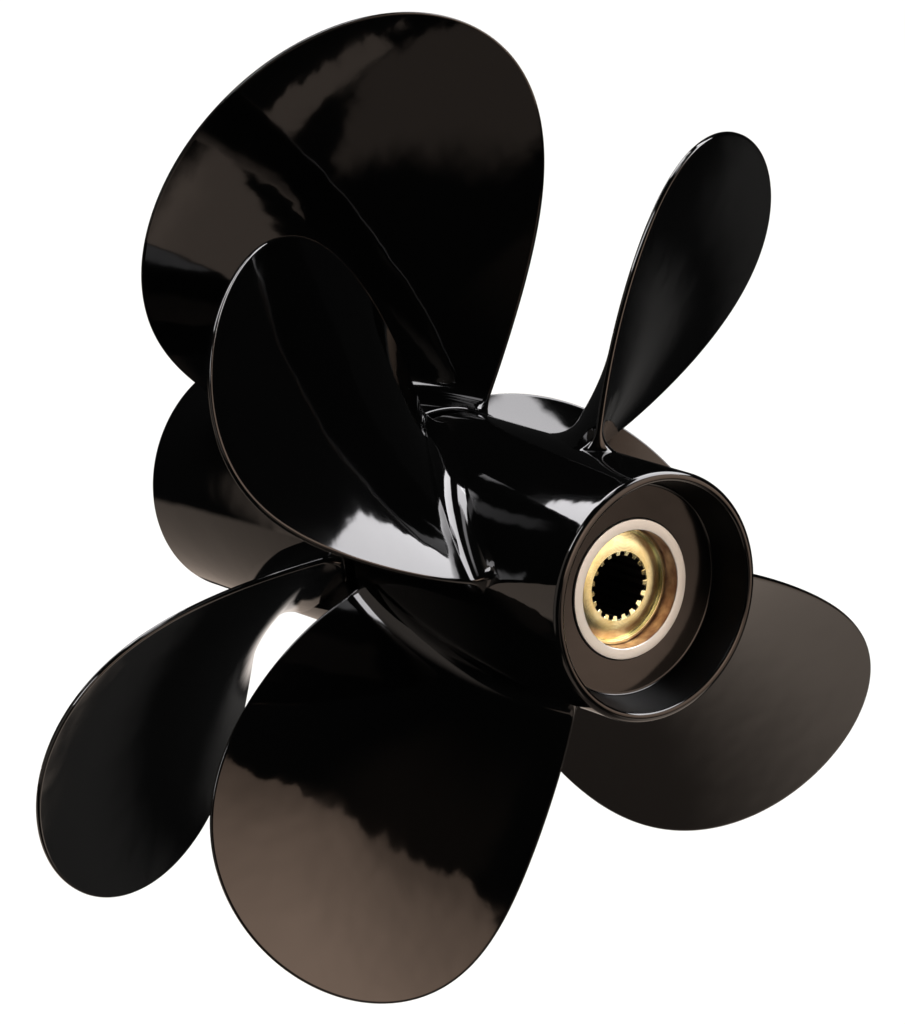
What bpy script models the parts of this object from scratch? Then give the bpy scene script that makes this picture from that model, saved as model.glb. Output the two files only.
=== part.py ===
"""A nested pair of contra-rotating boat propellers: three blades in front, four behind.

Both turn about the Y axis. +Y is forward, towards the drive, +Z is up, and the origin is
on the axis in the plane of the front hub's forward end. Sizes are in metres, angles in
degrees.
"""

from math import atan2, cos, pi, radians, sin, sqrt
from types import SimpleNamespace

import bmesh
import bpy

# Overall
SET_LENGTH = 0.256          # rear rim to front hub's forward end
HUB_GAP = 0.005             # running gap between the two barrels
SEAT_GAP = 0.0003           # between pieces that rest on each other
BARREL_WALL = 0.0065
EDGE_ROUND = 0.0012
RIM_ROUND = 0.0022

# Rear hub, its places counted forward from the rear rim
REAR_BARREL_RADIUS = 0.047
REAR_BARREL_LENGTH = 0.1235
RECESS_DEPTH = 0.0163
RECESS_FLOOR_RADIUS = 0.0398
RECESS_MOUTH_RADIUS = 0.0432
REAR_WEB = 0.014
REAR_BOSS_RADIUS = 0.0305

# Front hub
FRONT_BARREL_RADIUS = 0.048
FRONT_AFT_RECESS_DEPTH = 0.0115
FRONT_FORWARD_SETBACK = 0.010   # the boss ends short of the barrel
FRONT_WEB = 0.018
FRONT_BOSS_RADIUS = 0.0345
FRONT_LIP = 0.006               # inward lip that the bushing stands on
FRONT_LIP_RADIUS = 0.0235

# Bushings, from the outer sleeve to the splined one
REAR_RING_RADIUS = 0.0264
REAR_RING_WALL = 0.0042
REAR_RING_PROUD = 0.0008        # the bare ring stands out of the recess floor
REAR_BRASS_DEPTH = 0.0065       # from the bare ring's face to the brass face
REAR_SPLINE_RADIUS = 0.0114
FRONT_RING_RADIUS = 0.0297
FRONT_RING_WALL = 0.0037
FRONT_SPLINE_RADIUS = 0.0170
SPLINE_DEPTH = 0.0013
SPLINE_CHAMFER = 0.0004
BRASS_WALL = 0.0042
BRASS_FLANGE = 0.0028
GROOVE_DEPTH = 0.0012           # the brass face falls away from its flat to a groove
GROOVE_SLOPE = 0.0044           # the slope's width, from the flat down to the groove
BRASS_LIP = 0.0013              # the lip outside the groove
REAR_TEETH = 19
FRONT_TEETH = 25
TOOTH_ANGLE = -3.0              # degrees from starboard to the middle of a tooth

# Blades. A section's place along its radius is s, 0 at the root and 1 at the tip
REAR_BLADE = SimpleNamespace(
    hand=1,                     # turns clockwise, seen from behind
    root_radius=0.046,
    tip_radius=0.180,
    pitch=(0.432, 0.081),       # at the root, and its growth to the tip
    half_chord=(0.0482, 0.0420, -0.0271),
    skew=(-0.0068, 0.0131),
    fullness=7.0,               # the higher, the blunter the tip
    rake=(0.0021, -0.0076),
    root_thickness=0.0105,
    tip_thickness=0.0038,
    station=0.0808,             # blade's middle, forward of the rear rim
    angles=(51.5, 141.5, 231.5, 321.5),
)
FRONT_BLADE = SimpleNamespace(
    hand=-1,
    root_radius=0.048,
    tip_radius=0.197,
    pitch=(0.510, -0.039),
    half_chord=(0.0553, 0.0715, -0.0019),
    skew=(-0.0314, 0.0544),
    fullness=2.1,
    rake=(-0.0024, -0.0158),
    root_thickness=0.0120,
    tip_thickness=0.0040,
    station=0.1782,
    angles=(97.3, 217.3, 337.3),
)
EDGE_THICKNESS = 0.0022
FORWARD_SHARE = 0.75            # of a section's swell; the aft face is nearly flat
FILLET_RADIUS = 0.0085
FILLET_REACH = 0.0015           # how far the fillet runs past the root's two ends

HUB_SEGMENTS = 72
BUSH_SEGMENTS = 48
BLADE_STATIONS = 15
BLADE_SIDES = 32
ROOT_ROWS = 6


def material(name, colour, metallic, roughness):
    """A Principled material with one plain colour."""
    made = bpy.data.materials.new(name)
    made.use_nodes = True
    shader = made.node_tree.nodes["Principled BSDF"]
    shader.inputs["Base Color"].default_value = (*colour, 1)
    shader.inputs["Metallic"].default_value = metallic
    shader.inputs["Roughness"].default_value = roughness
    made.diffuse_color = (*colour, 1)
    return made


def add_object(name, mesh, paint, parent, turn=0.0):
    """Puts a mesh into the scene, turned by this many degrees about the propeller's axis."""
    mesh.materials.clear()
    mesh.materials.append(paint)
    mesh.shade_smooth()
    mesh.set_sharp_from_angle(angle=radians(35))
    made = bpy.data.objects.new(name, mesh)
    made.parent = parent
    made.rotation_euler.y = -radians(turn)
    bpy.context.scene.collection.objects.link(made)
    return made


def closed_mesh(name, points, faces):
    """A mesh of these points and faces, its normals outward."""
    mesh = bpy.data.meshes.new(name)
    mesh.from_pydata(points, [], faces)
    shape = bmesh.new()
    shape.from_mesh(mesh)
    bmesh.ops.recalc_face_normals(shape, faces=shape.faces)
    shape.to_mesh(mesh)
    shape.free()
    return mesh


def rounded(corners):
    """A profile whose corners (radius, y, cut) are chamfered by their cut; 0 keeps one sharp."""
    profile = []
    for i, (r, y, cut) in enumerate(corners):
        if not cut:
            profile.append((r, y))
            continue
        for r2, y2, _ in (corners[i - 1], corners[(i + 1) % len(corners)]):
            share = cut / sqrt((r2 - r) ** 2 + (y2 - y) ** 2)
            profile.append((r + (r2 - r) * share, y + (y2 - y) * share))
    return profile


def turned(name, profile, segments):
    """A closed ring: the profile of (radius, y) points spun about the Y axis."""
    points, faces = [], []
    count = len(profile)
    for i in range(segments):
        angle = 2 * pi * i / segments
        for r, y in profile:
            points.append((r * cos(angle), y, r * sin(angle)))
        for j in range(count):
            k = (j + 1) % count
            after = (i + 1) % segments
            faces.append((i * count + j, i * count + k, after * count + k, after * count + j))
    return closed_mesh(name, points, faces)


def splined(name, profile, teeth):
    """Like turned, but a profile point may carry a third value, the depth of its grooves."""
    points, faces = [], []
    count, segments = len(profile), 4 * teeth
    for i in range(segments):
        # Four edges a tooth: two points on its crest, then two in the groove beside it.
        angle = radians(TOOTH_ANGLE) + 2 * pi * (i - 0.5 + (0.15 if i % 2 else -0.15)) / segments
        in_groove = i % 4 > 1
        for r, y, depth in profile:
            reach = r + (depth if in_groove else 0)
            points.append((reach * cos(angle), y, reach * sin(angle)))
        for j in range(count):
            k = (j + 1) % count
            after = (i + 1) % segments
            faces.append((i * count + j, i * count + k, after * count + k, after * count + j))
    return closed_mesh(name, points, faces)


def blade_point(blade, hub_radius, s, around, depth=1.0):
    """A point of the blade's skin.

    The section at s lies on a cylinder about the axis. around runs about the section in
    radians: 0 at the trailing edge, pi at the leading edge, and the forward side between.
    depth below 1 moves the point towards the section's middle line.
    """
    start = hub_radius + SEAT_GAP
    r = start + s * (blade.tip_radius - start)
    share = (r - blade.root_radius) / (blade.tip_radius - blade.root_radius)
    outline = sqrt(max(0.0, 1 - share ** blade.fullness))
    root, gain, taper = blade.half_chord
    half = (root + gain * share + taper * share * share) * outline
    middle = blade.skew[0] * share + blade.skew[1] * share * share

    short = max(0.0, FILLET_RADIUS - (r - hub_radius))
    flare = FILLET_RADIUS - sqrt(FILLET_RADIUS ** 2 - short ** 2)
    half += FILLET_REACH * flare / FILLET_RADIUS

    thick = blade.root_thickness + (blade.tip_thickness - blade.root_thickness) * share ** 0.8
    rim = EDGE_THICKNESS / 2 * outline ** 0.4
    body = (thick - EDGE_THICKNESS) * outline ** 2
    rise = abs(sin(around))
    forward = sin(around) >= 0
    swell = body * (FORWARD_SHARE if forward else 1 - FORWARD_SHARE)
    lift = rim * rise ** 0.35 + swell * rise ** 2 + flare * rise ** 0.5
    along = middle + half * cos(around)
    across = depth * lift * (1 if forward else -1)

    pitch = blade.pitch[0] + blade.pitch[1] * share
    helix = atan2(pitch, 2 * pi * r)
    arc = blade.hand * (along * cos(helix) + across * sin(helix))
    rake = blade.rake[0] * share + blade.rake[1] * share * share
    y = rake - along * sin(helix) + across * cos(helix)
    return r * cos(arc / r), y, r * sin(arc / r)


def blade_mesh(name, blade, hub_radius):
    """One blade pointing along +X, closed at its tip and over its root."""
    points, faces = [], []
    half_way = BLADE_SIDES // 2
    for i in range(BLADE_STATIONS):
        # Stations crowd towards the root's fillet and the round tip.
        t = i / BLADE_STATIONS
        s = 0.5 - 0.5 * cos(pi * t ** 0.95)
        for j in range(BLADE_SIDES):
            points.append(blade_point(blade, hub_radius, s, 2 * pi * j / BLADE_SIDES))
            if i:
                k = (j + 1) % BLADE_SIDES
                low, high = (i - 1) * BLADE_SIDES, i * BLADE_SIDES
                faces.append((low + j, low + k, high + k, high + j))
    tip = len(points)
    points.append(blade_point(blade, hub_radius, 1.0, pi / 2))
    last = (BLADE_STATIONS - 1) * BLADE_SIDES
    for j in range(BLADE_SIDES):
        faces.append((last + j, last + (j + 1) % BLADE_SIDES, tip))

    # The root face bends with the hub, so it has rows of points between its two long edges.
    columns = [[0] * (ROOT_ROWS + 1)]
    for j in range(1, half_way):
        column = [j]
        for row in range(1, ROOT_ROWS):
            column.append(len(points))
            depth = 1 - 2 * row / ROOT_ROWS
            points.append(blade_point(blade, hub_radius, 0.0, 2 * pi * j / BLADE_SIDES, depth))
        columns.append(column + [BLADE_SIDES - j])
    columns.append([half_way] * (ROOT_ROWS + 1))
    for left, right in zip(columns, columns[1:]):
        for row in range(ROOT_ROWS):
            corners = (left[row], left[row + 1], right[row + 1], right[row])
            faces.append(tuple(dict.fromkeys(corners)))
    return closed_mesh(name, points, faces)


def rear_hub_profile():
    """The rear barrel, web and boss, y counted from the rear rim."""
    floor = RECESS_DEPTH
    nose = REAR_BARREL_LENGTH + HUB_GAP + FRONT_AFT_RECESS_DEPTH - SEAT_GAP
    bore = REAR_RING_RADIUS + SEAT_GAP
    inside = REAR_BARREL_RADIUS - BARREL_WALL
    return rounded([
        (REAR_BARREL_RADIUS, 0.0, RIM_ROUND),
        (RECESS_MOUTH_RADIUS, 0.0, EDGE_ROUND),
        (RECESS_FLOOR_RADIUS, floor, EDGE_ROUND),
        (bore, floor, 0),
        (bore, nose, 0),
        (REAR_BOSS_RADIUS, nose, EDGE_ROUND),
        (REAR_BOSS_RADIUS, floor + REAR_WEB, EDGE_ROUND),
        (inside, floor + REAR_WEB, EDGE_ROUND),
        (inside, REAR_BARREL_LENGTH, 0),
        (REAR_BARREL_RADIUS, REAR_BARREL_LENGTH, EDGE_ROUND),
    ])


def front_hub_profile(length):
    """The front barrel, web and boss, y counted from its aft end."""
    seat = FRONT_AFT_RECESS_DEPTH
    web_end = seat + FRONT_WEB
    boss_end = length - FRONT_FORWARD_SETBACK
    bore = FRONT_RING_RADIUS + SEAT_GAP
    inside = FRONT_BARREL_RADIUS - BARREL_WALL
    return rounded([
        (FRONT_BARREL_RADIUS, 0.0, EDGE_ROUND),
        (inside, 0.0, 0),
        (inside, seat, EDGE_ROUND),
        (FRONT_LIP_RADIUS, seat, EDGE_ROUND),
        (FRONT_LIP_RADIUS, seat + FRONT_LIP, 0),
        (bore, seat + FRONT_LIP, 0),
        (bore, boss_end, EDGE_ROUND),
        (FRONT_BOSS_RADIUS, boss_end, EDGE_ROUND),
        (FRONT_BOSS_RADIUS, web_end, EDGE_ROUND),
        (inside, web_end, EDGE_ROUND),
        (inside, length, EDGE_ROUND),
        (FRONT_BARREL_RADIUS, length, RIM_ROUND),
    ])


def tube_profile(inner, outer, start, end, cut=0.0006):
    """A plain ring's profile."""
    return rounded([(outer, start, cut), (inner, start, cut), (inner, end, cut), (outer, end, cut)])


def brass_profile(spline_radius, flange_radius, start, end):
    """A splined sleeve and its flange, whose aft face slopes from a flat down to a lip's foot."""
    body = spline_radius + SPLINE_DEPTH + BRASS_WALL
    mouth = spline_radius + SPLINE_DEPTH + SPLINE_CHAMFER
    lip = flange_radius - BRASS_LIP
    return [
        (flange_radius, start, 0),
        (lip, start, 0),
        (lip, start + GROOVE_DEPTH, 0),
        (lip - GROOVE_SLOPE, start, 0),
        (mouth, start, 0),
        (spline_radius, start + SPLINE_CHAMFER, SPLINE_DEPTH),
        (spline_radius, end - SPLINE_CHAMFER, SPLINE_DEPTH),
        (mouth, end, 0),
        (body, end, 0),
        (body, start + BRASS_FLANGE, 0),
        (flange_radius, start + BRASS_FLANGE, 0),
    ]


def bushing(side, parent, ring_radius, ring_wall, spline_radius, teeth, start, end, inset):
    """An outer sleeve, a rubber bush and a splined brass sleeve, one inside the other."""
    ring_bore = ring_radius - ring_wall
    flange = ring_bore - SEAT_GAP
    face = start + inset
    body = spline_radius + SPLINE_DEPTH + BRASS_WALL
    rubber_start = face + BRASS_FLANGE + SEAT_GAP
    rubber_end = end - 0.004
    ring = turned(side + "_outer_sleeve", tube_profile(ring_bore, ring_radius, start, end), BUSH_SEGMENTS)
    rubber = turned(
        side + "_rubber_bush",
        tube_profile(body + SEAT_GAP, flange, rubber_start, rubber_end, 0.001),
        BUSH_SEGMENTS,
    )
    brass = splined(side + "_splined_sleeve", brass_profile(spline_radius, flange, face, end), teeth)
    add_object(side + "_outer_sleeve", ring, bare_metal, parent)
    add_object(side + "_rubber_bush", rubber, black_rubber, parent)
    add_object(side + "_splined_sleeve", brass, sleeve_brass, parent)


for old in list(bpy.data.objects):
    bpy.data.objects.remove(old)

black_paint = material("black_paint", (0.012, 0.012, 0.013), 0.0, 0.12)
bare_metal = material("bare_aluminium", (0.80, 0.79, 0.76), 1.0, 0.35)
sleeve_brass = material("sleeve_brass", (0.72, 0.52, 0.24), 1.0, 0.28)
black_rubber = material("black_rubber", (0.02, 0.02, 0.02), 0.0, 0.75)

rear = bpy.data.objects.new("rear_propeller", None)
rear.location.y = -SET_LENGTH
front = bpy.data.objects.new("front_propeller", None)
front.location.y = -SET_LENGTH + REAR_BARREL_LENGTH + HUB_GAP
for body in (rear, front):
    bpy.context.scene.collection.objects.link(body)

front_length = -front.location.y
rear_nose = REAR_BARREL_LENGTH + HUB_GAP + FRONT_AFT_RECESS_DEPTH - SEAT_GAP
add_object("rear_hub", turned("rear_hub", rear_hub_profile(), HUB_SEGMENTS), black_paint, rear)
add_object("front_hub", turned("front_hub", front_hub_profile(front_length), HUB_SEGMENTS), black_paint, front)
bushing(
    "rear", rear, REAR_RING_RADIUS, REAR_RING_WALL, REAR_SPLINE_RADIUS, REAR_TEETH,
    RECESS_DEPTH - REAR_RING_PROUD, rear_nose - 0.002, REAR_BRASS_DEPTH,
)
bushing(
    "front", front, FRONT_RING_RADIUS, FRONT_RING_WALL, FRONT_SPLINE_RADIUS, FRONT_TEETH,
    FRONT_AFT_RECESS_DEPTH + FRONT_LIP + SEAT_GAP, front_length - FRONT_FORWARD_SETBACK - 0.002, 0.002,
)

for side, parent, blade, hub_radius in (
    ("rear", rear, REAR_BLADE, REAR_BARREL_RADIUS),
    ("front", front, FRONT_BLADE, FRONT_BARREL_RADIUS),
):
    shape = blade_mesh(side + "_blade", blade, hub_radius)
    aft_end = parent.location.y + SET_LENGTH
    for number, angle in enumerate(blade.angles, 1):
        placed = add_object(f"{side}_blade_{number}", shape, black_paint, parent, angle)
        placed.location.y = blade.station - aft_end
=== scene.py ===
# %% [markdown]
# # A nested pair of boat propellers
#
# Two propellers on one axis turn opposite ways behind a boat's stern drive: three blades in
# front, four behind. The imported model already holds each hub, blade and bushing as a plain
# solid in its place. This notebook gives them their looks: smooth castings under glossy black
# paint, a turned bare ring, and a brass sleeve with its splines.
#
# Everything is in metres. The axis runs along Y with the boat towards +Y, and +Z is up.

# %% Load the frame
from math import cos, pi, radians, sin
from types import SimpleNamespace

import bmesh
import bpy
import numpy as np
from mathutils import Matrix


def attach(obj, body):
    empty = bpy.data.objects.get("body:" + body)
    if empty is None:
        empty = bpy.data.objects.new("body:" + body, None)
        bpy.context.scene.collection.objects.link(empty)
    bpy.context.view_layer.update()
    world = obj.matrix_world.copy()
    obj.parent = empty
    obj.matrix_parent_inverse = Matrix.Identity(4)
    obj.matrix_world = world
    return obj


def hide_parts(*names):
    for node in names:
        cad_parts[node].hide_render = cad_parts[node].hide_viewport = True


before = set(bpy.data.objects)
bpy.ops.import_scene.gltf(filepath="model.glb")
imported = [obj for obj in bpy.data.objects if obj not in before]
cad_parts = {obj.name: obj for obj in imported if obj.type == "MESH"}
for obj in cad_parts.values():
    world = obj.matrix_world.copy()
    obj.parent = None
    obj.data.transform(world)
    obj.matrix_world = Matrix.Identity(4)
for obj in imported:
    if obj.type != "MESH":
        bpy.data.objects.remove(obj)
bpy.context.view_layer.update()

# %% [markdown]
# ## Camera
#
# The picture looks at the rear end from the port quarter, a little from above. A camera could
# be moved by hand until the picture looks right. Here its place and focal length come from a
# fit of the blades' outlines, so the perspective is the same. The long lens keeps the near
# and far blades at nearly one scale.

# %% Place the camera
LOOK_AT = np.array([-0.0557, -0.2060, 0.0308])
AZIMUTH, ELEVATION, DISTANCE = radians(-37.46), radians(13.76), 1.9494
FOCAL_PIXELS, PIXELS_HIGH, SENSOR_MM = 5363.0, 1024.0, 36.0


def seen_from(azimuth, elevation):
    """A unit vector out of the object. Azimuth 0 is straight aft and grows towards starboard."""
    return np.array([sin(azimuth) * cos(elevation), -cos(azimuth) * cos(elevation), sin(elevation)])


camera_data = bpy.data.cameras.new("studio_camera")
camera_data.sensor_fit = "VERTICAL"
camera_data.sensor_height = SENSOR_MM
camera_data.lens = SENSOR_MM * FOCAL_PIXELS / PIXELS_HIGH
camera = bpy.data.objects.new("studio_camera", camera_data)
camera.location = LOOK_AT + seen_from(AZIMUTH, ELEVATION) * DISTANCE
camera.rotation_euler = (pi / 2 - ELEVATION, 0.0, AZIMUTH)
bpy.context.scene.collection.objects.link(camera)
bpy.context.scene.camera = camera
print("lens", round(camera_data.lens, 1), "mm")

# %% [markdown]
# ## A material kit
#
# Colours are written as sRGB hex values, as a paint chart gives them, and turned into the
# linear values that the renderer adds up. One small function puts a node into a tree, so a
# material reads as a list of its nodes and of what feeds them.

# %% Helpers for materials
def linear(hex_colour):
    """sRGB hex to linear: a channel c is c / 12.92 when small, else ((c + 0.055) / 1.055) ** 2.4."""
    c = np.array([int(hex_colour[i : i + 2], 16) for i in (1, 3, 5)]) / 255
    c = np.where(c <= 0.04045, c / 12.92, ((c + 0.055) / 1.055) ** 2.4)
    return (*map(float, c), 1.0)


def new_material(name, settings):
    """A Principled material: itself, its tree and its shader. Settings are values by socket."""
    made = bpy.data.materials.new(name)
    made.use_nodes = True
    shader = made.node_tree.nodes["Principled BSDF"]
    for socket, value in settings.items():
        shader.inputs[socket].default_value = linear(value) if isinstance(value, str) else value
    print("material:", name)
    return made, made.node_tree, shader


def node(tree, kind, settings=None, links=None):
    """Adds a node. Settings are its properties or input values, links are sources by input."""
    made = tree.nodes.new(kind)
    for key, value in (settings or {}).items():
        if isinstance(key, str) and hasattr(made, key):
            setattr(made, key, value)
        else:
            made.inputs[key].default_value = value
    for key, source in (links or {}).items():
        tree.links.new(source, made.inputs[key])
    return made


print("#808080 sends back", round(linear("#808080")[0], 3), "of the light")

# %% [markdown]
# ## Glossy black paint on cast aluminium
#
# The castings are ground smooth, primed and sprayed black. Wet paint levels into a faint
# orange peel of a few millimetres, and the casting under it waves a little over a few
# centimetres, so every mirrored edge wanders. The gloss mirrors 4% of what is in front of it
# and much more at a glancing angle, which is nearly all that one sees of black gloss. A clear
# coat over a black base would look the same, and one layer has fewer values to keep right.

# %% Paint
CASTING_WAVE_MM, ORANGE_PEEL_MM, DUST_MM = 26.0, 3.5, 40.0
# Noise fills about 0.4 of its range, so the waves stand 0.1 mm high and the peel 2.4 micrometres.
CASTING_WAVE_DEPTH, ORANGE_PEEL_DEPTH = 0.00025, 0.000006
DUST_FROM, DUST_TO = 0.35, 0.75


def black_paint(name, roughness, level):
    """Black paint whose roughness wanders over a range (low, high) with the height of a noise.

    Level scales the 4% mirror, and 0.5 keeps it whole.
    """
    made, tree, shader = new_material(
        name, {"Base Color": "#040404", "IOR": 1.5, "Specular IOR Level": level},
    )
    place = node(tree, "ShaderNodeTexCoord").outputs["Object"]
    wave, peel, dust = (
        node(tree, "ShaderNodeTexNoise", {"Scale": 1000 / size, "Detail": detail}, {"Vector": place})
        for size, detail in ((CASTING_WAVE_MM, 2.0), (ORANGE_PEEL_MM, 1.0), (DUST_MM, 5.0))
    )
    waved = node(
        tree, "ShaderNodeBump", {"Strength": 1.0, "Distance": CASTING_WAVE_DEPTH},
        {"Height": wave.outputs["Fac"]},
    )
    peeled = node(
        tree, "ShaderNodeBump", {"Strength": 1.0, "Distance": ORANGE_PEEL_DEPTH},
        {"Height": peel.outputs["Fac"], "Normal": waved.outputs["Normal"]},
    )
    tree.links.new(peeled.outputs["Normal"], shader.inputs["Normal"])
    # Fine dust and overspray dull the gloss a little, in soft patches.
    low, high = roughness
    spread = node(
        tree, "ShaderNodeMapRange",
        {"From Min": DUST_FROM, "From Max": DUST_TO, "To Min": low, "To Max": high},
        {"Value": dust.outputs["Fac"]},
    )
    tree.links.new(spread.outputs["Result"], shader.inputs["Roughness"])
    return made


paint = black_paint("sprayed_black_gloss_paint", (0.03, 0.08), 0.5)
# The gun hardly reaches into the rear hub's recess: its floor dries to a satin, and its wall
# keeps a dry overspray that mirrors next to nothing.
satin = black_paint("satin_black_paint", (0.10, 0.16), 0.35)
overspray = black_paint("dry_black_overspray", (0.32, 0.42), 0.12)

# %% [markdown]
# ## Machined metals
#
# The face of the hub's inner ring is turned after painting, so it is bare. A lathe leaves a
# fine spiral of grooves, a quarter of a millimetre apart, that smears light across the
# grooves. Here they are drawn 0.5 mm apart, because finer ones would vanish in the picture.
# They follow the distance from the axis, so the pattern is rings. An anisotropic shader would
# smear the light too, but shows no rings from close by.

# %% Turned bare aluminium
TOOL_MARK_MM, GRAIN_MM = 0.5, 1.111
TOOL_MARK_DEPTH = 0.00002


def turning_marks(tree, shader, along_axis, depth):
    """Dents the surface by sin(2 pi run / spacing) and a fine grain.

    The run is the distance from the Y axis, or in a bore the distance along it.
    """
    place = node(tree, "ShaderNodeTexCoord").outputs["Object"]
    split = node(tree, "ShaderNodeSeparateXYZ", None, {"Vector": place})
    if along_axis:
        run = split.outputs["Y"]
    else:
        across = {"X": split.outputs["X"], "Z": split.outputs["Z"]}
        flat = node(tree, "ShaderNodeCombineXYZ", None, across).outputs["Vector"]
        run = node(tree, "ShaderNodeVectorMath", {"operation": "LENGTH"}, {0: flat}).outputs["Value"]
    per_metre = 2 * pi * 1000 / TOOL_MARK_MM
    phase = node(tree, "ShaderNodeMath", {"operation": "MULTIPLY", 1: per_metre}, {0: run})
    rise = node(tree, "ShaderNodeMath", {"operation": "SINE"}, {0: phase.outputs["Value"]})
    fine = {"Scale": 1000 / GRAIN_MM, "Detail": 3.0}
    grain = node(tree, "ShaderNodeTexNoise", fine, {"Vector": place})
    parts = {0: rise.outputs["Value"], 1: grain.outputs["Fac"]}
    height = node(tree, "ShaderNodeMath", {"operation": "ADD"}, parts).outputs["Value"]
    marks = node(tree, "ShaderNodeBump", {"Strength": 0.6, "Distance": depth}, {"Height": height})
    tree.links.new(marks.outputs["Normal"], shader.inputs["Normal"])


bare, tree, shader = new_material(
    "turned_bare_aluminium", {"Base Color": "#CED8DB", "Metallic": 1.0, "Roughness": 0.42},
)
turning_marks(tree, shader, False, TOOL_MARK_DEPTH)

# %% [markdown]
# The ring's bore is given a mottled reddish brown, which is painted shade for the step down
# from the turned face to the brass face; as a metal it also mirrors the brass beside it. A
# painted picture could be wrapped round it, but a noise needs no unwrapping and has no seam.

# %% Bore with painted shade
def mottle(tree, shader, size_mm, stops, detail, roughness=0.5):
    """Base colour that goes from one stop (height, colour) to the next with a noise's height.

    Returns that height, for a bump of the same pattern.
    """
    place = node(tree, "ShaderNodeTexCoord").outputs["Object"]
    patches = {"Scale": 1000 / size_mm, "Detail": detail, "Roughness": roughness}
    height = node(tree, "ShaderNodeTexNoise", patches, {"Vector": place}).outputs["Fac"]
    tint = node(tree, "ShaderNodeValToRGB", None, {"Fac": height})
    for element, (position, colour) in zip(tint.color_ramp.elements, stops):
        element.position, element.color = position, linear(colour)
    tree.links.new(tint.outputs["Color"], shader.inputs["Base Color"])
    return height


# The reddish-brown mottle on the bore is painted shade, in patches of this size.
SHADE_PATCH_MM = 5.556

shaded_bore, tree, shader = new_material(
    "machined_bore_with_painted_shade", {"Metallic": 0.85, "Roughness": 0.38},
)
turning_marks(tree, shader, True, TOOL_MARK_DEPTH)
mottle(tree, shader, SHADE_PATCH_MM, ((0.35, "#9C6F62"), (0.70, "#E6C4AC")), 4.0)

# %% [markdown]
# ## Brass
#
# The splined sleeve is a free-cutting brass, yellow with a green cast where it is clean and
# warmer where it has been handled, in patches of a centimetre. Its face is turned, with
# shallower marks than the softer aluminium takes, and the splines are pulled with a broach,
# which leaves bright teeth.

# %% Brass
BRASS_MARK_DEPTH, HANDLED_MM = 0.000015, 9.09

brass, tree, shader = new_material("turned_and_broached_brass", {"Metallic": 1.0, "Roughness": 0.22})
turning_marks(tree, shader, False, BRASS_MARK_DEPTH)
mottle(tree, shader, HANDLED_MM, ((0.32, "#CFC68A"), (0.62, "#E2E6BC")), 5.0, 0.65)

# %% [markdown]
# A millimetre or two inside the mouth the splines turn from brass to a half dull near-black,
# which is all that shows of them deeper in.

# %% Dull black splines
dull_black_splines = new_material("dull_black_spline_colour", {"Base Color": "#14110F", "Roughness": 0.45})[0]

# %% [markdown]
# ## Rubber
#
# A moulded rubber bush sits between each brass sleeve and its outer ring, and takes up the
# knock of shifting gears. It is dull black with a dusty bloom in spots of 4 mm, and the same
# noise pits it, so the pale spots stand a little proud.

# %% Rubber
BLOOM_MM, PIT_DEPTH = 4.0, 0.0001

rubber, tree, shader = new_material("moulded_black_rubber", {"Roughness": 0.75})
bloom = mottle(tree, shader, BLOOM_MM, ((0.40, "#121212"), (0.80, "#262524")), 4.0)
pitted = node(tree, "ShaderNodeBump", {"Strength": 0.4, "Distance": PIT_DEPTH}, {"Height": bloom})
tree.links.new(pitted.outputs["Normal"], shader.inputs["Normal"])

# %% [markdown]
# ## Surfaces on a grid
#
# Every shape here is a function of two parameters, worked out for a whole grid at once. One
# function then joins neighbouring grid points into faces. Where a grid row shrinks to a point,
# or two edges of the grid meet, the doubled points become one, so the skin is closed.
#
# Primitives and modifiers would give the barrels as well, but not blades whose edge keeps one
# shape from root to tip. With grids, one way serves every piece.

# %% A grid of points becomes a mesh
MERGE_DECIMALS = 7


def merged_faces(points, wrap_rows):
    """Distinct points, and the faces between grid neighbours. Columns always close into a loop.

    Points that agree to 0.1 micrometre are one point. A face that lost a corner to this is a
    triangle, and one that lost more is dropped.
    """
    rows, columns, _ = points.shape
    index = np.arange(rows * columns).reshape(rows, columns)
    down = np.roll(index, -1, axis=0)
    quads = np.stack([index, down, np.roll(down, -1, axis=1), np.roll(index, -1, axis=1)], -1)
    quads = quads[: rows if wrap_rows else -1].reshape(-1, 4)
    rounded = np.round(points.reshape(-1, 3), MERGE_DECIMALS)
    distinct, place = np.unique(rounded, axis=0, return_inverse=True)
    quads = place.reshape(-1)[quads]
    repeats = quads == np.roll(quads, -1, axis=1)
    lost = repeats.sum(axis=1)
    triangles = quads[lost == 1][~repeats[lost == 1]].reshape(-1, 3)
    return distinct, quads[lost == 0].tolist() + triangles.tolist()


def skin(name, points, finish, body, nodes, wrap_rows=True):
    """Makes a piece from a grid of points, faces outward, that stands for these CAD nodes."""
    distinct, faces = merged_faces(points, wrap_rows)
    mesh = bpy.data.meshes.new(name)
    mesh.from_pydata(distinct, [], faces)
    shape = bmesh.new()
    shape.from_mesh(mesh)
    bmesh.ops.recalc_face_normals(shape, faces=shape.faces)
    open_edges = sum(edge.is_boundary for edge in shape.edges)
    shape.to_mesh(mesh)
    shape.free()
    mesh.shade_smooth()
    mesh.materials.append(finish)
    piece = bpy.data.objects.new(name, mesh)
    bpy.context.scene.collection.objects.link(piece)
    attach(piece, body)
    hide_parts(*nodes)
    print(f"{name}: {len(faces)} faces, {open_edges} open edges")
    return piece


print(f"points merge below {10**6 * 10.0**-MERGE_DECIMALS:.1f} micrometre")

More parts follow.
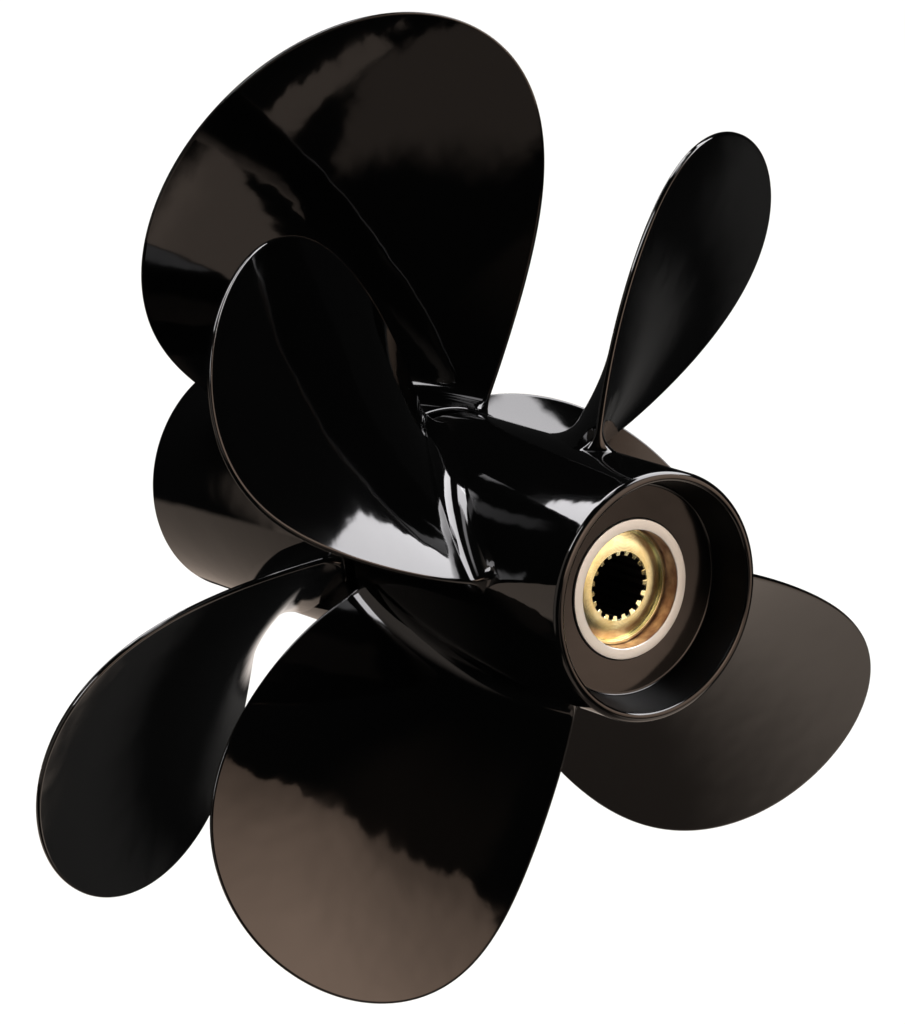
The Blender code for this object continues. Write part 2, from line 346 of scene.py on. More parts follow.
# %% [markdown]
# ## Turned shapes
#
# Barrels, rings and bushes are made on a lathe or in a round mould. Each is a profile in the
# half-plane (radius, y) that is carried round the axis. A Screw modifier could carry it, and
# then the corners would need a Bevel. Every corner of a real profile has a small radius, which
# is what catches a thin line of light, so here each corner is given with its own.

# %% A profile with round corners
ARC_POINTS = 7


def profile(corners):
    """A closed line through corners (radius, y, round), each replaced by an arc.

    The arc touches both sides at the distance t = round / tan(half the corner's angle) from
    the corner. Its points blend from one touching point to the other by turning the spoke
    from the arc's centre.
    """
    at = np.array([corner[:2] for corner in corners])
    line = []
    for i, (_, _, size) in enumerate(corners):
        if not size:
            line.append(at[i])
            continue
        to_last, to_next = at[i - 1] - at[i], at[(i + 1) % len(at)] - at[i]
        to_last, to_next = to_last / np.linalg.norm(to_last), to_next / np.linalg.norm(to_next)
        half = np.arccos(np.clip(to_last @ to_next, -1, 1)) / 2
        middle = (to_last + to_next) / np.linalg.norm(to_last + to_next)
        centre = at[i] + middle * size / sin(half)
        side = to_next - middle * (to_next @ middle)
        side /= np.linalg.norm(side)
        turn = np.linspace(-1, 1, ARC_POINTS) * (pi / 2 - half)
        line.extend(centre + size * (np.outer(np.sin(turn), side) - np.outer(np.cos(turn), middle)))
    return np.array(line)


def spun(line, segments):
    """Grid [angle, profile point]: (r cos a, y, r sin a), r and y from the profile."""
    angle = np.linspace(0, 2 * pi, segments, endpoint=False)[:, None]
    r, y = line[:, 0], line[:, 1]
    return np.stack([r * np.cos(angle), y + 0 * angle, r * np.sin(angle)], axis=-1)


print("a round corner takes", ARC_POINTS, "points")

# %% [markdown]
# ## Hubs
#
# Each hub is a barrel with a web and a boss inside it, cast in one with its blades and turned
# round where other pieces meet it. The rear one has a deep recess for the nut, whose floor
# meets its wall in a small cove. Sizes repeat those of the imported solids. The barrels could be
# those solids under paint, but their facets would show in every reflection.

# %% The rear hub's profile
SET_LENGTH, HUB_GAP, SEAT_GAP, WALL = 0.256, 0.005, 0.0003, 0.0065
REAR_RADIUS, REAR_LENGTH, REAR_WEB, REAR_BOSS = 0.047, 0.1235, 0.014, 0.0305
RECESS_DEPTH, RECESS_MOUTH, RECESS_FLOOR = 0.0163, 0.0432, 0.0398
FRONT_AFT_RECESS, REAR_RING = 0.0115, 0.0264
REAR_NOSE = REAR_LENGTH + HUB_GAP + FRONT_AFT_RECESS - SEAT_GAP
RIM_ROUND, RECESS_ROUND, EDGE_ROUND, BOSS_ROUND, BORE_ROUND = 0.0022, 0.0014, 0.0012, 0.001, 0.0008
WEB_COVE, TURNED_EDGE = 0.004, 0.0002

# y is counted forward from the rear rim, and moved to its place when the profile is spun.
inside, bore, web_end = REAR_RADIUS - WALL, REAR_RING + SEAT_GAP, RECESS_DEPTH + REAR_WEB
rear_hub = profile([
    (REAR_RADIUS, 0.0, RIM_ROUND),
    (RECESS_MOUTH, 0.0, RECESS_ROUND),
    (RECESS_FLOOR, RECESS_DEPTH, RECESS_ROUND),
    (bore, RECESS_DEPTH, TURNED_EDGE),
    (bore, REAR_NOSE, 0.0),
    (REAR_BOSS, REAR_NOSE, BOSS_ROUND),
    (REAR_BOSS, web_end, WEB_COVE),
    (inside, web_end, WEB_COVE),
    (inside, REAR_LENGTH, BORE_ROUND),
    (REAR_RADIUS, REAR_LENGTH, EDGE_ROUND),
])
print("rear hub:", len(rear_hub), "points round its profile")

# %% [markdown]
# The front hub is a little larger. Its aft recess takes the rear one's boss, an inward lip
# stops its bushing, and its own boss ends short of the barrel at the drive's end.

# %% The front hub's profile
FRONT_RADIUS, FRONT_WEB, FRONT_BOSS, FRONT_RING = 0.048, 0.018, 0.0345, 0.0297
FRONT_LIP, FRONT_LIP_RADIUS, FRONT_SETBACK, FORWARD_RIM_ROUND = 0.006, 0.0235, 0.010, 0.0018
FRONT_START = REAR_LENGTH + HUB_GAP
FRONT_LEDGE = FRONT_START + FRONT_AFT_RECESS
FRONT_BOSS_END = SET_LENGTH - FRONT_SETBACK

inside, bore = FRONT_RADIUS - WALL, FRONT_RING + SEAT_GAP
lip_end, web_end = FRONT_LEDGE + FRONT_LIP, FRONT_LEDGE + FRONT_WEB
front_hub = profile([
    (FRONT_RADIUS, FRONT_START, EDGE_ROUND),
    (inside, FRONT_START, BORE_ROUND),
    (inside, FRONT_LEDGE, EDGE_ROUND),
    (FRONT_LIP_RADIUS, FRONT_LEDGE, BOSS_ROUND),
    (FRONT_LIP_RADIUS, lip_end, 0.0),
    (bore, lip_end, 0.0),
    (bore, FRONT_BOSS_END, BORE_ROUND),
    (FRONT_BOSS, FRONT_BOSS_END, BOSS_ROUND),
    (FRONT_BOSS, web_end, WEB_COVE),
    (inside, web_end, WEB_COVE),
    (inside, SET_LENGTH, EDGE_ROUND),
    (FRONT_RADIUS, SET_LENGTH, FORWARD_RIM_ROUND),
])
print("front hub:", len(front_hub), "points round its profile")

# %% [markdown]
# Both profiles are spun in steps of 1.25 degrees, fine enough that a mirrored edge runs round
# the barrel without a kink. The paint in the rear recess is duller, so the faces there get
# their own finish, picked by where their middles lie.

# %% Both hubs
HUB_SEGMENTS = 288
BELOW_FLOOR = 0.0005

hubs = {}
for name, line in (("rear", rear_hub), ("front", front_hub)):
    grid = spun(line - [0, SET_LENGTH], HUB_SEGMENTS)
    hubs[name] = skin(
        f"{name}_hub_casting", grid, paint, f"{name}_propeller", [f"{name}_hub"],
    )


def refinish(piece, finish, chosen):
    """Gives another finish to the faces that chosen(radius, y) picks by their middles."""
    faces = piece.data.polygons
    middles, index = np.empty(len(faces) * 3), np.empty(len(faces), np.int32)
    faces.foreach_get("center", middles)
    faces.foreach_get("material_index", index)
    x, y, z = middles.reshape(-1, 3).T
    picked = chosen(np.hypot(x, z), y)
    index[picked] = len(piece.data.materials)
    piece.data.materials.append(finish)
    faces.foreach_set("material_index", index)
    print(f"{piece.name}: {picked.sum()} faces in {finish.name}")


floor_end = RECESS_DEPTH + BELOW_FLOOR - SET_LENGTH
refinish(
    hubs["rear"], overspray,
    lambda r, y: (r > RECESS_FLOOR) & (r < RECESS_MOUTH) & (y < floor_end),
)
refinish(hubs["rear"], satin, lambda r, y: (r < RECESS_FLOOR) & (y < floor_end))

# %% [markdown]
# ## Blades
#
# A propeller blade is drawn flat first: an outline over the radius r and the place w along
# the section, with the leading edge at one side and the trailing edge at the other. Each
# section is then wrapped round the axis along its helix. The aft face is nearly flat and the
# forward face swells, thickest at the root. A round fillet runs into the barrel.
#
# A blade could be sculpted over the photograph, but a drawing keeps all blades of one
# propeller alike and gives a true helix, as the pattern for the mould has.

# %% The two blade drawings
# Hand is 1 for a right-handed propeller and -1 for a left-handed one, and blunt squares the
# tip. With s the share of the way from root to tip, pitch and half are coefficients of 1, s and
# s squared, and skew and rake of s and s squared. Thick is the thickness at root and tip,
# station the root's place along the axis, and spine_end the radius where the spine stops.
REAR_BLADE = SimpleNamespace(
    hand=1, root=0.046, tip=0.180, pitch=(0.432, 0.081), half=(0.0482, 0.0420, -0.0271),
    skew=(-0.0068, 0.0131), blunt=7.0, rake=(0.0021, -0.0076), thick=(0.0105, 0.0038),
    station=0.0808, barrel=REAR_RADIUS, spine_end=0.140, angles=(51.5, 141.5, 231.5, 321.5),
)
FRONT_BLADE = SimpleNamespace(
    hand=-1, root=0.048, tip=0.197, pitch=(0.510, -0.039), half=(0.0553, 0.0715, -0.0019),
    skew=(-0.0314, 0.0544), blunt=2.1, rake=(-0.0024, -0.0158), thick=(0.0120, 0.0040),
    station=0.1782, barrel=FRONT_RADIUS, spine_end=0.150, angles=(97.3, 217.3, 337.3),
)


def share_of(blade, r):
    """0 at the root radius and 1 at the tip."""
    return np.clip((r - blade.root) / (blade.tip - blade.root), 0, 1)


def drawing(blade, r):
    """The flat drawing at radius r, as three values.

    They are the section's middle, its half chord before the tip closes it, and how much of
    that the tip leaves, sqrt(1 - share ** blunt).
    """
    s = share_of(blade, r)
    middle = blade.skew[0] * s + blade.skew[1] * s**2
    half = blade.half[0] + blade.half[1] * s + blade.half[2] * s**2
    return middle, half, np.sqrt(np.clip(1 - s**blade.blunt, 0, 1))


for name, blade in (("rear", REAR_BLADE), ("front", FRONT_BLADE)):
    halfway = (blade.root + blade.tip) / 2
    print(f"{name} blade: chord {2 * drawing(blade, halfway)[1] * 1000:.0f} mm halfway out")

# %% [markdown]
# A casting has no sharp inner corner, so a fillet leads each face into the barrel, and its
# foot lies a tenth of a millimetre inside the barrel's skin. A Bevel on a Boolean union of
# blade and barrel tends to break on so slanted a cut. Here the thickness simply grows near the
# barrel by the reach of a quarter circle.

# %% Fillet, swell and helix
HALF_EDGE, FILLET, FILLET_REACH, SUNK = 0.0011, 0.0085, 0.0015, 0.00012
FORWARD_SHARE, TAPER_POWER = 0.75, 0.8


def flare(blade, r):
    """A quarter circle's reach at radius r: 0 above the fillet, all of FILLET in the barrel."""
    short = np.clip(FILLET - (r - blade.barrel + SUNK), 0, FILLET)
    return FILLET - np.sqrt(FILLET**2 - short**2)


def swell_at(blade, w, r):
    """What a section's thickness adds to its edges': a parabola over w that ends at its outline."""
    middle, half, left = drawing(blade, r)
    taper = share_of(blade, r) ** TAPER_POWER
    thick = blade.thick[0] + (blade.thick[1] - blade.thick[0]) * taper
    return (thick - 2 * HALF_EDGE) * np.clip(left**2 - ((w - middle) / half) ** 2, 0, 1)


def wrapped(blade, along, r, across):
    """Wraps flat places round the axis.

    Each section turns by its helix, atan(pitch / 2 pi r), and its sideways part becomes an arc
    of the circle of radius r.
    """
    s = share_of(blade, r)
    helix = np.arctan2(blade.pitch[0] + blade.pitch[1] * s, 2 * pi * r)
    arc = blade.hand * (along * np.cos(helix) + across * np.sin(helix))
    y = blade.rake[0] * s + blade.rake[1] * s**2 - along * np.sin(helix) + across * np.cos(helix)
    y = y + blade.station - SET_LENGTH
    return np.stack([r * np.cos(arc / r), y, r * np.sin(arc / r)], axis=-1)


at_rim = flare(REAR_BLADE, REAR_RADIUS) * 1000
print(f"at the barrel's skin the fillet adds {at_rim:.1f} mm to each face")

# %% [markdown]
# If the sections were the grid's rows, the tip would end in ever shorter rows and a poor
# edge. So a row starts on the outline and runs in to a spine that ends short of the tip.
# Rows near the tip then meet the edge square on, and the edge has the same shape all round.

# %% Rows and columns of a blade's grid
FILLET_ROWS, ROWS, FACE_COLUMNS, EDGE_COLUMNS = 14, 84, 56, 9


def row_radii(blade):
    """The radius at which each row meets the outline, close together in fillet and tip.

    The fillet's rows stand at even angles of its quarter circle, 1 - sin(turn), and the others
    at sin(turn) of the way to the tip.
    """
    low = blade.barrel - SUNK
    turn = np.linspace(pi / 2, 0, FILLET_ROWS, endpoint=False)
    fillet_r = low + FILLET * (1 - np.sin(turn))
    rise = np.sin(np.linspace(0, pi / 2, ROWS))
    return np.concatenate([fillet_r, low + FILLET + (blade.tip - low - FILLET) * rise])[:, None]


def loop_columns():
    """One closed loop round a blade, as three arrays over its columns.

    It goes over the forward face from leading to trailing edge, round that edge, back over the
    aft face, and round the leading edge. Inward is 0 on the outline and 1 on the spine,
    side is 1 on the trailing side and -1 on the leading one, and angle turns from a quarter
    turn on the forward face to minus a quarter turn on the aft one.
    """
    sweep = np.sin(np.linspace(-pi / 2, pi / 2, FACE_COLUMNS))
    bend = np.linspace(pi / 2, -pi / 2, EDGE_COLUMNS + 2)[1:-1]
    quarter, ones = np.full(FACE_COLUMNS, pi / 2), np.ones(EDGE_COLUMNS)
    inward = np.concatenate([1 - abs(sweep), 0 * bend, 1 - abs(sweep), 0 * bend])
    side = np.concatenate([np.sign(sweep), ones, -np.sign(sweep), -ones])
    angle = np.concatenate([quarter, bend, -quarter, bend[::-1]])
    return inward, side, angle


print("a blade's grid:", len(row_radii(REAR_BLADE)), "rows of", len(loop_columns()[0]), "points")

# %% [markdown]
# The edge of a real blade is ground round, but flatter than a half circle. A superellipse has
# one number for that: at the power 2 it is an ellipse, and a higher power makes it squarer.
# Towards the root the power drops, so the edge is rounder where it meets the fillet.

# %% One blade's grid
EDGE_POWER, ROOT_POWER_DROP, ROOT_EDGE_DEPTH, SPINE_POWER = 3.5, 1.2, 0.8, 3
ROOT_SHRINK = np.array([0.0, 0.5, 0.85])[:, None]


def blade_grid(blade):
    """Rows run from the barrel to the tip; a row is one closed loop round the blade.

    A face point lies on the straight line between the row's edge point and its spine point.
    The edge is a superellipse of the power p: |n| ** p + |1 - d| ** p = 1, with n its height
    and d its depth inwards.
    """
    low, edge_r = blade.barrel - SUNK, row_radii(blade)
    drawn_in = ((edge_r - low) / (blade.tip - low)) ** SPINE_POWER
    spine_r = edge_r - (blade.tip - blade.spine_end) * drawn_in
    spine_w = drawing(blade, spine_r)[0]
    inward, side, angle = loop_columns()

    middle, half, left = drawing(blade, edge_r)
    grown = flare(blade, edge_r)
    edge_w = middle + side * (half * left + FILLET_REACH * grown / FILLET)
    span = np.hypot(edge_w - spine_w, edge_r - spine_r)
    deep = HALF_EDGE + ROOT_EDGE_DEPTH * grown
    power = EDGE_POWER - ROOT_POWER_DROP * grown / FILLET
    rounded = deep * (1 - np.abs(np.cos(angle)) ** (2 / power))
    step = (rounded + inward * (span - deep)) / span
    w = edge_w + (spine_w - edge_w) * step
    r = edge_r + (spine_r - edge_r) * step

    swell = swell_at(blade, w, r)
    cap = (HALF_EDGE + flare(blade, r)) * np.abs(np.sin(angle)) ** (2 / power)
    forward = np.sin(angle) > 1e-9
    n = np.where(forward, cap + FORWARD_SHARE * swell, -cap - (1 - FORWARD_SHARE) * swell)

    # Inside the barrel's wall the loop closes on its own middle, so the root has a floor.
    inner_w = middle[:1] + (w[:1] - middle[:1]) * ROOT_SHRINK
    w, n = np.vstack([inner_w, w]), np.vstack([n[:1] * ROOT_SHRINK, n])
    r = np.vstack([np.repeat(r[:1], len(ROOT_SHRINK), axis=0), r])
    return wrapped(blade, w, r, n)


print(f"the edge is {2 * HALF_EDGE * 1000:.1f} mm thick")

# %% [markdown]
# One propeller's blades are alike and stand at even angles, as they all come from one pattern.
# Objects that share a mesh could be turned instead, but a pattern on object coordinates would
# turn with them and repeat on each blade, so the points themselves are turned.

# %% Place the seven blades
def turned_by(points, degrees):
    """Turns points about the Y axis, from +X towards +Z: (x cos a - z sin a, y, x sin a + z cos a)."""
    a = radians(degrees)
    x, y, z = np.moveaxis(points, -1, 0)
    return np.stack([x * cos(a) - z * sin(a), y, x * sin(a) + z * cos(a)], axis=-1)


for side, blade in (("rear", REAR_BLADE), ("front", FRONT_BLADE)):
    grid = blade_grid(blade)
    for number, angle in enumerate(blade.angles, 1):
        skin(
            f"{side}_blade_{number}_casting", turned_by(grid, angle), paint, f"{side}_propeller",
            [f"{side}_blade_{number}"], wrap_rows=False,
        )

# %% [markdown]
# ## Bushings
#
# In each hub sits a bare outer ring, a rubber bush and a splined brass sleeve. The ring's
# face is turned and stands a little out of the recess's floor, and its bore carries painted
# reddish-brown shade. Ring and rubber are plain tubes, so four corners with a round edge each
# are all they need.

# %% Rings and bushes
RING_PROUD, SLEEVE_SETBACK, RUBBER_SETBACK = 0.0008, 0.002, 0.004
SPLINE_DEPTH, BRASS_WALL, FLANGE = 0.0013, 0.0042, 0.0028
RING_SEGMENTS, RUBBER_SEGMENTS = 192, 128
RING_EDGE, RUBBER_EDGE = 0.0004, 0.001
# A face belongs to the bore when its middle lies this near to it.
BORE_SKIN = 0.00005

# Start and end are the ring's two faces, and inset is how much deeper the brass face lies.
BUSHINGS = {
    "rear": SimpleNamespace(
        ring=REAR_RING, wall=0.0042, spline=0.0114, teeth=19, inset=0.0065,
        start=RECESS_DEPTH - RING_PROUD, end=REAR_NOSE - SLEEVE_SETBACK,
    ),
    "front": SimpleNamespace(
        ring=FRONT_RING, wall=0.0037, spline=0.0170, teeth=25, inset=0.002,
        start=FRONT_LEDGE + FRONT_LIP + SEAT_GAP, end=FRONT_BOSS_END - SLEEVE_SETBACK,
    ),
}


def tube(inner, outer, start, end, size, segments):
    """A plain ring's grid, all four corners of its profile rounded by the same size."""
    corners = (outer, start), (inner, start), (inner, end), (outer, end)
    line = profile([(r, y, size) for r, y in corners])
    return spun(line - [0, SET_LENGTH], segments)


for side, bush in BUSHINGS.items():
    body = bush.spline + SPLINE_DEPTH + BRASS_WALL
    bore = bush.ring - bush.wall
    ring = skin(
        f"{side}_turned_ring", tube(bore, bush.ring, bush.start, bush.end, RING_EDGE, RING_SEGMENTS),
        bare, f"{side}_propeller", [f"{side}_outer_sleeve"],
    )
    # The bore's faces get the reddish-brown painted shade.
    refinish(ring, shaded_bore, lambda r, y: r < bore + BORE_SKIN)
    start, end = bush.start + bush.inset + FLANGE + SEAT_GAP, bush.end - RUBBER_SETBACK
    skin(
        f"{side}_rubber_ring",
        tube(body + SEAT_GAP, bore - SEAT_GAP, start, end, RUBBER_EDGE, RUBBER_SEGMENTS),
        rubber, f"{side}_propeller", [f"{side}_rubber_bush"],
    )

# %% [markdown]
# The brass face lies deeper than the ring's, dished inside a thin rim, and the splines start
# in a small chamfer. Each spline could be cut with a Boolean, but that leaves long thin faces
# and hard edges. Here the teeth are part of the radius itself, as a function of the angle.

# %% Splined sleeves
CHAMFER, GROOVE_DEPTH, GROOVE_SLOPE, BRASS_LIP = 0.0004, 0.0012, 0.0044, 0.0013
WORN_EDGE, SPLINE_EDGE, FACE_BEND = 0.0003, 0.0001, 0.0160
TOOTH_ANGLE, TOOTH_STEPS, FLANK_STEEPNESS = radians(-3.0), 20, 5
# The near-black starts this deep under the brass face, on what lies this much inside the mouth's
# radius.
DARK_SPLINE_FROM, MOUTH_SKIN = 0.0016, 0.0001


def splined(line, grooved, teeth):
    """Grid [angle, profile point] like spun, with r + depth * groove(angle) where grooved.

    groove is 0 on a tooth and 1 between teeth, with flanks: cos(teeth * angle) stretched
    five times, cut off at -1 and 1, and brought to the range 0 to 1.
    """
    angle = np.linspace(0, 2 * pi, teeth * TOOTH_STEPS, endpoint=False)[:, None]
    wave = np.clip(FLANK_STEEPNESS * np.cos(teeth * (angle - TOOTH_ANGLE)), -1, 1)
    r = line[:, 0] + SPLINE_DEPTH * grooved * (0.5 - 0.5 * wave)
    return np.stack([r * np.cos(angle), line[:, 1] + 0 * angle, r * np.sin(angle)], axis=-1)


for side, bush in BUSHINGS.items():
    body = bush.spline + SPLINE_DEPTH + BRASS_WALL
    rim = bush.ring - bush.wall - SEAT_GAP
    mouth = bush.spline + SPLINE_DEPTH + CHAMFER
    lip, face, back = rim - BRASS_LIP, bush.start + bush.inset, bush.start + bush.inset + FLANGE
    line = profile([
        (rim, face, TURNED_EDGE),
        (lip, face, WORN_EDGE),
        (lip, face + GROOVE_DEPTH, TURNED_EDGE),
        (lip - GROOVE_SLOPE, face, FACE_BEND),
        (mouth, face, TURNED_EDGE),
        (bush.spline, face + CHAMFER, SPLINE_EDGE),
        (bush.spline, bush.end - CHAMFER, SPLINE_EDGE),
        (mouth, bush.end, 0.0),
        (body, bush.end, WORN_EDGE),
        (body, back, 0.0),
        (rim, back, 0.0),
    ])
    grooved = np.clip((mouth - line[:, 0]) / (mouth - bush.spline), 0, 1)
    sleeve = skin(
        f"{side}_brass_sleeve", splined(line - [0, SET_LENGTH], grooved, bush.teeth), brass,
        f"{side}_propeller", [f"{side}_splined_sleeve"],
    )
    # Beyond that depth the splines are given the dull near-black.
    dark_spline_from = face + DARK_SPLINE_FROM - SET_LENGTH
    refinish(sleeve, dull_black_splines, lambda r, y: (r < mouth - MOUTH_SKIN) & (y > dark_spline_from))

# %% [markdown]
# ## Studio
#
# A pale floor lies well below the part, as if it stood on a tall post, and a wide soft lamp
# overhead lights it. A sun lamp with a broad disc does that from any distance. Reflections
# see neither of them: what the gloss mirrors is set in the next cells.

# %% Floor and lamp
FLOOR_Z, FLOOR_REACH = -0.9, 14.0
LAMP_STRENGTH, LAMP_DISC = 3.9, radians(40)

corners = np.array([(-1, -1), (1, -1), (1, 1), (-1, 1)]) * FLOOR_REACH
floor_mesh = bpy.data.meshes.new("studio_floor")
floor_mesh.from_pydata([(x, y, FLOOR_Z) for x, y in corners], [], [(0, 1, 2, 3)])
floor = bpy.data.objects.new("studio_floor", floor_mesh)
floor.visible_glossy = False
bpy.context.scene.collection.objects.link(floor)
pale = new_material("matt_white_studio_paper", {"Base Color": "#F4F3F0", "Roughness": 0.9})[0]
floor_mesh.materials.append(pale)

lamp_data = bpy.data.lights.new("overhead_lamp", "SUN")
lamp_data.energy, lamp_data.angle = LAMP_STRENGTH, LAMP_DISC
lamp = bpy.data.objects.new("overhead_lamp", lamp_data)
lamp.visible_glossy = False
bpy.context.scene.collection.objects.link(lamp)
print("floor", FLOOR_Z, "m up,", lamp.name, "of strength", LAMP_STRENGTH)

# %% [markdown]
# Black gloss shows little but reflections, so the rest of the studio is a set of softly edged
# glowing cards. Each stands where a blade should mirror something bright, and everywhere else
# the room is dark. Area lamps have hard edges and one shape, so each card is a mesh of its
# own whose glow fades towards its borders. Only reflections see the cards, as in a photograph
# that keeps them out of the frame.

# %% One card
PART_MIDDLE = np.array([0.0, -0.13, 0.0])
CARD_DISTANCE, CARD_POINTS = 4.0, 61


def glowing(name, radiance, colour):
    """A material that adds the mesh's glow times a radiance to what lies behind the card."""
    lit = bpy.data.materials.new(name + "_light")
    lit.use_nodes = True
    tree = lit.node_tree
    tree.nodes.remove(tree.nodes["Principled BSDF"])
    share = node(tree, "ShaderNodeAttribute", {"attribute_name": "glow"}).outputs["Fac"]
    power = node(tree, "ShaderNodeMath", {"operation": "MULTIPLY", 1: radiance}, {0: share})
    strength = {"Strength": power.outputs["Value"]}
    light = node(tree, "ShaderNodeEmission", {"Color": linear(colour)}, strength).outputs["Emission"]
    clear = node(tree, "ShaderNodeBsdfTransparent").outputs["BSDF"]
    both = node(tree, "ShaderNodeAddShader", None, {0: light, 1: clear})
    tree.links.new(both.outputs["Shader"], tree.nodes["Material Output"].inputs["Surface"])
    lit.cycles.emission_sampling = "NONE"
    return lit


def card(name, left, right, radiance, soft, colour):
    """A glowing card ruled between two upright edges, each a list of places from low to high.

    A point at (u, v) lies a share u of the way from the left edge to the right one, both read
    at a share v of their places. The glow rises from 0 at each border to 1 over that border's
    soft share (left, right, low, high), as 3 t^2 - 2 t^3.
    """
    shares = np.linspace(0, 1, CARD_POINTS)
    u, v = np.meshgrid(shares, shares)
    edges = []
    for edge in (left, right):
        places = np.linspace(0, 1, len(edge))
        edges.append(np.stack([np.interp(v, places, axis) for axis in np.array(edge).T], -1))
    points = edges[0] * (1 - u[..., None]) + edges[1] * u[..., None]
    rise = [np.clip(t / s, 0, 1) for t, s in zip((u, 1 - u, v, 1 - v), soft)]
    glow = np.prod([t * t * (3 - 2 * t) for t in rise], axis=0)
    index = np.arange(u.size).reshape(u.shape)
    quads = np.stack([index[:-1, :-1], index[:-1, 1:], index[1:, 1:], index[1:, :-1]], -1)
    mesh = bpy.data.meshes.new(name)
    mesh.from_pydata(points.reshape(-1, 3), [], quads.reshape(-1, 4).tolist())
    mesh.attributes.new("glow", "FLOAT", "POINT").data.foreach_set("value", glow.ravel())
    mesh.materials.append(glowing(name, radiance, colour))
    made = bpy.data.objects.new(name, mesh)
    made.visible_camera = made.visible_diffuse = made.visible_shadow = False
    bpy.context.scene.collection.objects.link(made)
    print(f"{name}: radiance {radiance}")


print("far cards stand", CARD_DISTANCE, "m from", PART_MIDDLE.tolist())

# %% [markdown]
# Overhead hang lamps behind white cloth. They are the brightest cards, and give the whites on
# blades and barrels. Their corners are given in ceiling heights from the point over the part's
# middle, so a corner's numbers are its direction's slopes.

# %% Cards overhead
CEILING, CLOTH_RADIANCE, CLOTH_WHITE = 1.6, 11.0, "#FCFAFD"


def level_card(name, left, right, z, radiance, soft, colour):
    """A card at height z whose edges are lists of places (x, y), from aft to forward."""
    left, right = ([(x, y, z) for x, y in edge] for edge in (left, right))
    card(name, left, right, radiance, soft, colour)


def overhead(name, left, right, soft, radiance=CLOTH_RADIANCE):
    """A lamp's white cloth at ceiling height, its places in ceiling heights over the part."""
    left, right = (
        [(x * CEILING, y * CEILING + PART_MIDDLE[1]) for x, y in edge] for edge in (left, right)
    )
    level_card(name, left, right, CEILING, radiance, soft, CLOTH_WHITE)


overhead(
    "starboard_softbox", [(0.30, -0.75), (0.45, 0.60)],
    [(1.90, -1.45), (1.88, -0.90), (1.97, -0.62), (1.68, -0.38), (1.40, -0.18)],
    (0.03, 0.03, 0.03, 0.02),
)
overhead(
    "softbox_bridge", [(-0.24, 0.19), (-0.28, 0.64)], [(0.10, 0.19), (0.18, 0.52)],
    (0.10, 0.10, 0.20, 0.06),
)
overhead(
    "softbox_gap", [(-0.15, -0.26), (-0.15, 0.26)], [(0.05, -0.30), (0.05, 0.26)],
    (0.30, 0.30, 0.20, 0.10), radiance=3.0,
)
overhead(
    "port_softbox", [(-1.40, -0.34), (-1.40, 0.22)], [(-0.64, -0.26), (-0.66, -0.08)],
    (0.05, 0.08, 0.08, 0.10),
)
overhead(
    "forward_softbox", [(-0.85, 0.78), (-0.85, 1.20)], [(0.30, 0.40), (0.30, 0.69)],
    (0.03, 0.03, 0.04, 0.04),
)

# %% [markdown]
# Aft of the part, to the camera's right, stands a warm backdrop. The aft faces mirror it as a
# dark brown, and its left edge draws the line between brown and black on them. Far cards are
# given by directions from the part, because a mirror shows little else of what is far off.

# %% Cards aft
WARM, WARM_DIM = "#FFDBC2", "#FFE6D4"


def spot(azimuth, elevation):
    """A place in this direction from the middle of the part, in degrees."""
    return PART_MIDDLE + CARD_DISTANCE * seen_from(radians(azimuth), radians(elevation))


def far_card(name, left, right, radiance, soft, colour):
    """A card far off, whose edges are lists of directions (azimuth, elevation) from low to high."""
    left, right = ([spot(*direction) for direction in edge] for edge in (left, right))
    card(name, left, right, radiance, soft, colour)


far_card(
    "aft_backdrop", [(-17, 2), (-19.5, 8), (-18, 15), (-16, 21), (-12, 27), (-8, 31)],
    [(58, elevation) for elevation in (-26, -8, 8, 22, 35)],
    1.05, (0.012, 0.05, 0.05, 0.03), WARM,
)
far_card(
    "aft_backdrop_glow", [(-19, 2), (-14, 30)], [(58, -18), (58, 34)],
    0.95, (0.10, 0.10, 0.10, 0.30), WARM,
)
far_card(
    "aft_backdrop_hot_spot", [(-13, -2), (-13, 29)], [(20, -2), (20, 29)],
    1.60, (0.33, 0.30, 0.12, 0.58), WARM,
)
far_card(
    "aft_key_card", [(10, 0), (10, 32)], [(58, -4), (58, 34)],
    0.3, (0.20, 0.10, 0.15, 0.15), "#FFFDF8",
)
far_card(
    "aft_backdrop_halo", [(-48, 2), (-48, 34)], [(-2, 6), (-2, 34)],
    0.05, (0.60, 0.50, 0.10, 0.30), WARM,
)
far_card(
    "dim_aft_wall", [(-23, -29), (-23, -3)], [(-7, -29), (3, -3)],
    0.32, (0.35, 0.06, 0.05, 0.14), WARM_DIM,
)
far_card(
    "table_edge", [(-14, -37), (-10, -34), (-6, -26)], [(-5, -41), (-4, -36), (-3, -28)],
    0.68, (0.12, 0.10, 0.08, 0.08), WARM_DIM,
)

# %% [markdown]
# A table top glows close below the part, for faces that mirror what is under them. It is near
# enough that each blade mirrors another part of it. Where its cards overlap their glow adds
# up, and they lie 2 mm apart in height, so that no two share a plane.

# %% Cards low down, close by
TABLE, LEAF = -0.35, 0.002

level_card(
    "table_port", [(-0.33, -0.60), (-0.33, -0.28)], [(-0.05, -0.60), (-0.05, -0.28)],
    TABLE, 0.72, (0.05, 0.12, 0.05, 0.20), WARM_DIM,
)
level_card(
    "table_middle", [(-0.14, -0.54), (-0.14, 0.02)], [(0.20, -0.54), (0.20, 0.02)],
    TABLE + LEAF, 0.21, (0.20, 0.30, 0.10, 0.10), WARM_DIM,
)
level_card(
    "table_starboard", [(0.212, -0.70), (-0.010, -0.16)], [(0.612, -0.70), (0.390, -0.16)],
    TABLE - LEAF, 1.40, (0.41, 0.10, 0.05, 0.10), "#FFEAD9",
)

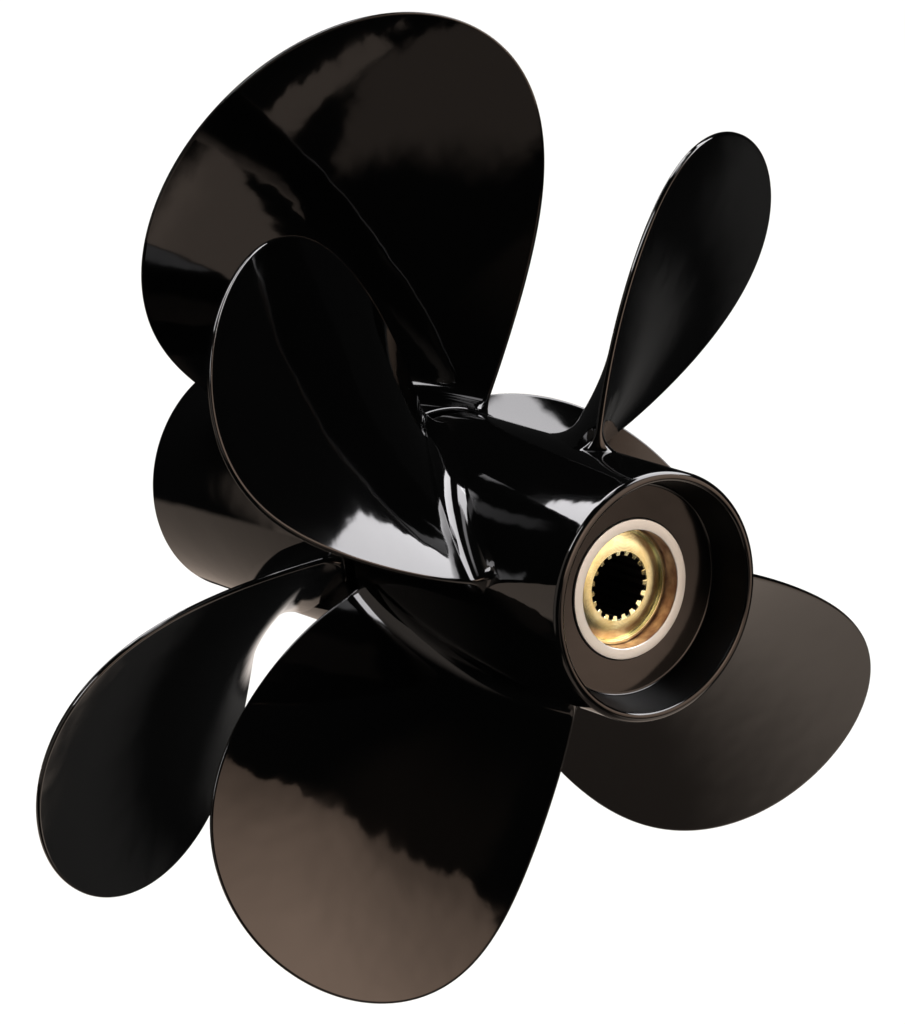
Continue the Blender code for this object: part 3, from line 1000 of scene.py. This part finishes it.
# %% [markdown]
# The walls to the sides and forward are dimmer. They lift edges and forward faces out of the
# black, so that the part keeps its shape in the side and back views too.

# %% Cards to the sides and forward
NEUTRAL, PEACH = "#F4F0EC", "#FFE8D6"

far_card(
    "starboard_wall", [(70, -50), (70, -19)], [(99, -50), (99, -19)],
    0.10, (0.20, 0.45, 0.10, 0.12), NEUTRAL,
)
far_card(
    "starboard_far_wall", [(98, -28), (98, -14)], [(134, -28), (134, -14)],
    0.07, (0.30, 0.15, 0.50, 0.40), NEUTRAL,
)
far_card(
    "forward_glow", [(131, -35), (133, -8)], [(148, -35), (148, -10)],
    0.80, (0.60, 0.30, 0.25, 0.25), "#FFF4EC",
)
far_card(
    "forward_floor", [(141, -43), (141, -18)], [(221, -42), (221, -13)],
    0.47, (0.09, 0.05, 0.15, 0.10), PEACH,
)
far_card(
    "port_forward_card", [(-147, -16), (-147, 12)], [(-124, -20), (-124, 10)],
    0.70, (0.40, 0.10, 0.10, 0.25), PEACH,
)
far_card(
    "port_card", [(-120, -27), (-120, 60)], [(-68, -27), (-68, 60)],
    0.58, (0.15, 0.40, 0.12, 0.30), "#FFF0E4",
)

# %% [markdown]
# Behind everything the picture is white above the floor's edge too, as with a paper sweep,
# while reflections meet a dark room there. The world's light therefore depends on the kind of
# ray: one from the camera finds white paper, any other finds nearly nothing.

# %% The room
ROOM_GREY = (0.01, 0.01, 0.01, 1)

world = bpy.data.worlds.new("studio_room")
world.use_nodes = True
tree = world.node_tree
dark = tree.nodes["Background"]
dark.inputs["Color"].default_value = ROOM_GREY
paper = node(tree, "ShaderNodeBackground", {"Color": (1, 1, 1, 1), "Strength": 1.0})
kind = node(tree, "ShaderNodeLightPath").outputs["Is Camera Ray"]
seen = node(tree, "ShaderNodeMixShader", None, {0: kind, 1: dark.outputs[0], 2: paper.outputs[0]})
tree.links.new(seen.outputs[0], tree.nodes["World Output"].inputs["Surface"])
bpy.context.scene.world = world
bpy.context.scene.view_settings.view_transform = "Standard"
print("room:", world.name)
